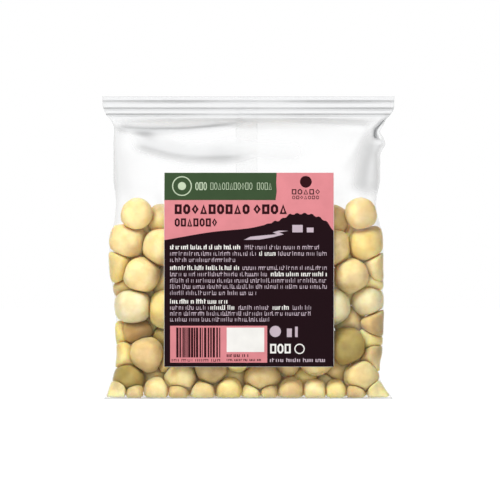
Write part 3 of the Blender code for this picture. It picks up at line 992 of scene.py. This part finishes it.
def label_prints():
    """All that is printed on the label, layer by layer. The numbers are x and z in mm, and sizes."""
    rng = np.random.default_rng(SEED)
    (left, _, low), (right, _, high) = label_box
    left, right = left + LABEL_INSET, right - LABEL_INSET
    low, high = low + LABEL_INSET, high - LABEL_INSET
    dark = ink_material("ink_aubergine", 22, 4, 10)
    pink = ink_material("ink_pink", 197, 122, 127)
    green = ink_material("ink_green", 51, 69, 45)
    maroon = ink_material("ink_maroon", 40, 8, 14)
    pale = ink_material("ink_pale", 176, 160, 170)
    pale_green = ink_material("ink_pale_green", 172, 186, 160)
    white = ink_material("ink_white", 217, 215, 211)

    printed("label_field", [box_outline(left, low, right, high)], 1, dark)

    # The lower edge of the upper field is a hill with small rounded lumps along its right half
    mound = (
        (left, 70.5), (-15.0, 74.2), (0.0, 75.7), (8.0, 77.4), (14.0, 79.0), (19.3, 81.6), (25.2, 81.8),
        (31.1, 80.2), (35.6, 77.2), (right, 73.8),
    )
    across = np.linspace(left, right, 91)
    ridge = along(mound, across)[:, 0]
    bumps = (1.1 * np.abs(np.sin(across * 0.95)) - 0.3) * smoothstep(6.0, 12.0, across)
    top_field = list(zip(across, ridge + bumps)) + [(right, high), (left, high)]
    printed("label_upper_field", [top_field], 2, pink)

    streak = (
        (-2.0, 70.6), (5.0, 70.7), (11.0, 71.8), (15.6, 73.0), (13.6, 73.9), (17.6, 74.6), (13.4, 74.7),
        (10.8, 73.9), (12.6, 73.1), (7.0, 72.6), (1.0, 72.0),
    )
    blocks = [box_outline(19.4, 73.9, 24.0, 77.2), box_outline(25.8, 73.9, 28.8, 76.0)]
    printed("label_streak", [streak] + blocks, 2, pale)

    band_end = ((12.0, 88.2), (12.5, 92.0), (12.3, 96.0), (12.5, high))
    printed("label_band", [((left, 88.2),) + band_end + ((left, high),)], 3, green)
    band_text = row_of_shapes("ofo", -23.5, 92.6, 1.5, 3.5, 0.42, 0.3)
    band_text += row_of_shapes("fopofpfodfo", -16.8, 92.8, 1.3, 3.1, 0.22, 0.42)
    band_text += row_of_shapes("fofp", 3.8, 92.8, 1.3, 3.1, 0.22, 0.42)
    printed("label_band_words", band_text, 4, pale_green)
    dot_x, dot_z = -29.4, 94.4
    printed("label_band_dot", [disc(dot_x, dot_z, 4.4)], 4, pale_green)
    printed("label_band_dot_middle", [disc(dot_x, dot_z, 3.9)], 5, green)
    printed("label_band_dot_centre", [disc(dot_x, dot_z, 1.8)], 6, pale_green)

    title = row_of_shapes("fodpfofpo", -32.6, 82.0, 3.1, 4.3, 1.1, 0.65)
    title += row_of_shapes("dfop", 2.2, 82.0, 3.25, 4.3, 1.1, 0.6)
    title += row_of_shapes("ofpfofd", -32.6, 76.5, 2.25, 3.6, 0.74, 0.5)
    printed("label_title", title, 3, maroon)
    corner = [disc(25.4, 96.3, 2.6)] + row_of_shapes("fopfd", 19.2, 90.7, 2.0, 2.3, 0.42, 0.6)
    corner += row_of_shapes("ofdpofo", 19.4, 88.6, 1.3, 1.5, 0.26, 0.45)
    printed("label_corner_mark", corner, 3, maroon)

    bold = []
    text = []
    for z, runs in TEXT_LINES:
        for start, end, heavy in runs:
            if heavy:
                bold += line_of_ticks(rng, start, end, z, 1.5, 0.86, 0.42)
            else:
                text += line_of_ticks(rng, start, end, z, 1.45, 0.8, 0.23)
    printed("label_bold_text", bold, 2, white)
    printed("label_text", text, 2, pale)

    printed("label_panel", [box_outline(-34.6, 16.3, 8.3, 32.6)], 2, pink)
    bars_end = -12.4
    bars = []
    x = -31.9
    while x < bars_end - 0.4:
        width = rng.choice((0.3, 0.45, 0.7, 1.0))
        bars.append(box_outline(x, 18.6, min(x + width, bars_end), 31.8))
        x += width + rng.choice((0.25, 0.4, 0.6))
    printed("label_panel_bars", bars, 3, maroon)
    feet = line_of_ticks(rng, -33.9, bars_end, 16.8, 1.1, 0.9, 0.3, tall=1.0)
    printed("label_panel_feet", feet, 3, maroon)
    printed("label_panel_patch", [box_outline(-9.6, 21.0, 7.0, 31.8)], 3, white)
    panel_words = line_of_ticks(rng, -9.6, 0.0, 18.8, 1.2, 0.8, 0.42, tall=1.0)
    panel_words += line_of_ticks(rng, -9.6, 6.4, 17.0, 0.9, 0.7, 0.32, tall=1.0)
    printed("label_panel_words", panel_words, 3, maroon)

    marks = [disc(11.9, 30.1, 2.5), box_outline(17.0, 27.6, 19.2, 31.4), box_outline(20.6, 27.6, 21.8, 32.2)]
    printed("label_marks", marks, 2, pale)
    ring_x, ring_z = 22.6, 22.4
    bold_words = row_of_shapes("fof", 9.6, 20.4, 2.7, 4.2, 0.75, 0.5) + [disc(ring_x, ring_z, 2.3)]
    printed("label_bold_words", bold_words, 2, white)
    printed("label_disc_middle", [disc(ring_x, ring_z, 1.8)], 3, dark)
    low_words = line_of_ticks(rng, 9.5, 34.6, 16.6, 1.3, 0.95, 0.45, tall=1.3)
    printed("label_low_words", low_words, 2, pale)


# ---------------------------------------------------------------- build

label_box = tuple(np.array(corner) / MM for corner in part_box("front_label"))

kernels = cad_kernels()
tube = film_tube()
tube_tree = grid_tree(tube)
all_centres = np.array([k[1] for k in kernels])
all_weights = np.array([k[2] for k in kernels])
placed = np.array(PLACED_KERNELS)
all_centres = np.vstack([all_centres, placed[:, :3]])
all_weights = np.append(all_weights, placed[:, 3])
more = spaces(grid_points(*EXTRA_BOX, EXTRA_STEP), all_centres, all_weights, tube_tree, *EXTRA_RADIUS)
all_centres = np.vstack([all_centres] + [centre for centre, _ in more])
all_weights = np.append(all_weights, [max(radius, SHARE_LEAST) for _, radius in more])

creams = kernel_materials()
tone_rng = np.random.default_rng(SEED)
pieces = []
for i in range(len(all_weights)):
    piece = kernel_mesh(f"visual_kernel_{i + 1:02d}", i, tube_tree)
    tone = tone_rng.choice(list(HIDDEN_TONES))
    if i < len(SHOWN_TONES):
        tone = SHOWN_TONES[i]
    elif len(kernels) <= i < len(kernels) + len(FOOT_TONES):
        tone = FOOT_TONES[i - len(kernels)]
    piece.data.materials.append(creams[tone])
    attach(piece, "root")
    if i < len(kernels):
        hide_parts(kernels[i][0])
    pieces.append(piece)

corners = []
polygons = []
for piece in pieces:
    first = len(corners)
    corners += [v.co / MM for v in piece.data.vertices]
    polygons += [[first + v for v in p.vertices] for p in piece.data.polygons]
contents = BVHTree.FromPolygons(corners, polygons)
film_points = rippled(drawn_in(tube, contents))
fold_height, fold_shade_haze = creased(film_points)
film_points = crimped(film_points + grid_normals(film_points) * fold_height[..., None])
film = closed_tube("visual_film", film_points)
seam = open_grid("visual_back_seam", seam_points(film_points), SEAM_THICK)
foot = bar("visual_bottom_seal", bottom_seal_points())
clear_film = film_material()
film_pieces = (
    (film, film_haze_and_shade(film_points, fold_shade_haze)),
    (seam, np.full(len(seam.data.vertices), HAZE_SEAM)),
    (foot, np.full(len(foot.data.vertices), HAZE_BOTTOM_SEAL)),
)
for piece, haze_and_shade in film_pieces:
    piece.data.materials.append(clear_film)
    set_values(piece, "haze_and_shade", haze_and_shade)
    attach(piece, "root")
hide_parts("bag_film")

label_body()
label_prints()


# ---------------------------------------------------------------- stage

# Surround: tilt of its bright front and back, where they fade to the sides and how dim those are, and its
# strength as light and in reflections
LIGHT_TILT = math.radians(13.0)
SIDE_FADE = (0.50, 0.94)
SIDE_SHARE = 0.12
FILL = 0.42
SHINE = 1.10

WHITE = (1.0, 1.0, 1.0, 1.0)
FLOOR_HALF = 3.0
CAMERA_DISTANCE = 2.0
CAMERA_X = 0.0007
CAMERA_HEIGHT = 0.0661
VIEW_WIDTH = 0.2225


def make_world():
    """A white surround to the eye, and a soft light from front and back with dim sides.

    Its reflections are stronger than the light it gives, like those of a panel behind the camera.
    """
    world = bpy.data.worlds.new("studio")
    bpy.context.scene.world = world
    world.use_nodes = True
    world.cycles.sampling_method = "NONE"
    tree = world.node_tree
    tree.nodes.clear()
    link = tree.links.new

    def new(kind, **values):
        node = tree.nodes.new(kind)
        for key, value in values.items():
            setattr(node, key, value)
        return node

    def ranged(source, low, high, to_low, to_high, kind="LINEAR"):
        node = new("ShaderNodeMapRange", interpolation_type=kind)
        for key, value in zip(RANGE_SOCKETS, (low, high, to_low, to_high)):
            node.inputs[key].default_value = value
        link(source, node.inputs["Value"])
        return node.outputs["Result"]

    path = new("ShaderNodeLightPath")
    place = new("ShaderNodeTexCoord")
    split = new("ShaderNodeSeparateXYZ")
    size = new("ShaderNodeMath", operation="ABSOLUTE")
    rise = new("ShaderNodeMath", operation="MULTIPLY")
    rise.inputs[1].default_value = math.sin(LIGHT_TILT)
    facing = new("ShaderNodeMath", operation="MULTIPLY_ADD")
    facing.inputs[1].default_value = math.cos(LIGHT_TILT)
    lit_strength = new("ShaderNodeMath", operation="MULTIPLY")
    seen = new("ShaderNodeBackground")
    lit = new("ShaderNodeBackground")
    mix = new("ShaderNodeMixShader")
    out = new("ShaderNodeOutputWorld")
    seen.inputs["Color"].default_value = WHITE
    lit.inputs["Color"].default_value = WHITE
    link(place.outputs["Generated"], split.inputs["Vector"])
    link(split.outputs["Y"], size.inputs[0])
    link(split.outputs["Z"], rise.inputs[0])
    link(size.outputs[0], facing.inputs[0])
    link(rise.outputs[0], facing.inputs[2])
    front_and_back = ranged(facing.outputs[0], *SIDE_FADE, SIDE_SHARE, 1.0, "SMOOTHSTEP")
    strength = ranged(path.outputs["Is Glossy Ray"], 0.0, 1.0, FILL, SHINE)
    link(front_and_back, lit_strength.inputs[0])
    link(strength, lit_strength.inputs[1])
    link(lit_strength.outputs[0], lit.inputs["Strength"])
    link(path.outputs["Is Camera Ray"], mix.inputs["Fac"])
    link(lit.outputs[0], mix.inputs[1])
    link(seen.outputs[0], mix.inputs[2])
    link(mix.outputs[0], out.inputs["Surface"])


def area_light(name, place, target, size, energy):
    """A rectangular light at place that shines at target and leaves no highlight of its own."""
    data = bpy.data.lights.new(name, "AREA")
    data.shape = "RECTANGLE"
    data.size, data.size_y = size
    data.energy = energy
    obj = bpy.data.objects.new(name, data)
    obj.location = place
    obj.rotation_euler = (Vector(target) - Vector(place)).to_track_quat("-Z", "Y").to_euler()
    obj.visible_glossy = False
    bpy.context.scene.collection.objects.link(obj)


def make_floor():
    """A floor as white as the surround, which doesn't show in reflections."""
    bm = bmesh.new()
    bmesh.ops.create_grid(bm, x_segments=1, y_segments=1, size=FLOOR_HALF)
    floor = finished_mesh("floor", bm, smooth=False)
    n = Nodes("floor_white")
    n.set(Base_Color=(0.05, 0.05, 0.05, 1.0), Roughness=0.9, Emission_Color=WHITE, Emission_Strength=0.97)
    floor.data.materials.append(n.material)
    floor.visible_glossy = False


def make_camera():
    """A camera straight in front that sees VIEW_WIDTH across at the middle of the bag."""
    data = bpy.data.cameras.new("camera")
    data.sensor_width = 36.0
    data.lens = data.sensor_width * CAMERA_DISTANCE / VIEW_WIDTH
    camera = bpy.data.objects.new("camera", data)
    camera.location = (CAMERA_X, -CAMERA_DISTANCE, CAMERA_HEIGHT)
    camera.rotation_euler = (math.pi / 2, 0.0, 0.0)
    bpy.context.scene.collection.objects.link(camera)
    bpy.context.scene.camera = camera


make_world()
make_floor()
bag_middle = (0.0, 0.0, 0.065)
bag_foot = (0.0, 0.0, 0.01)
area_light("key", (-0.35, -0.60, 0.90), bag_middle, (0.55, 0.5), 13.2)
area_light("back", (0.2, 0.8, 0.8), bag_middle, (0.6, 0.6), 4.0)
area_light("low", (0.1, -0.9, 0.03), bag_foot, (0.6, 0.2), 1.9)
make_camera()
bpy.context.scene.view_settings.view_transform = "Standard"
